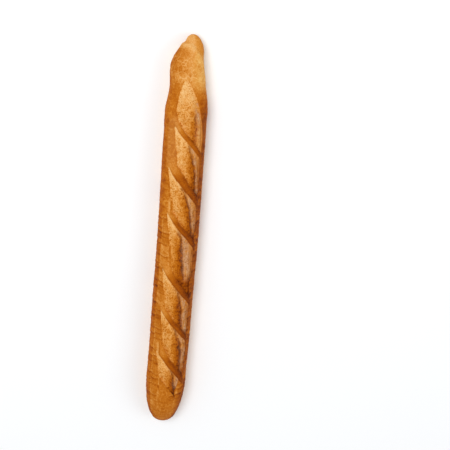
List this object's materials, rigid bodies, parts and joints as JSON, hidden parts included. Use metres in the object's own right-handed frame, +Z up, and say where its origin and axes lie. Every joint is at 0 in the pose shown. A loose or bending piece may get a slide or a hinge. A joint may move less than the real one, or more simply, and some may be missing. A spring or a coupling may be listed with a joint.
{
  "type": "baguette",
  "caption": "Long crusty bread loaf with a flat sole, a domed crown, overlapping slanting cuts and a knobbed tip, lying cut side up.",
  "frame": {"origin": "on the ground under the middle of the loaf's bounding box", "axes": "+X along the loaf towards its knobbed tip, +Z up from the flat sole to the cut crown, +Y across"},
  "size_m": [0.6, 0.0618, 0.0499],
  "materials": {
    "baked_crust": "golden baked bread crust, paler and porous where the cuts opened, satin on the crown and matt on the sole"
  },
  "bodies": {
    "root": {"baguette": "baked_crust"}
  },
  "joints": []
}
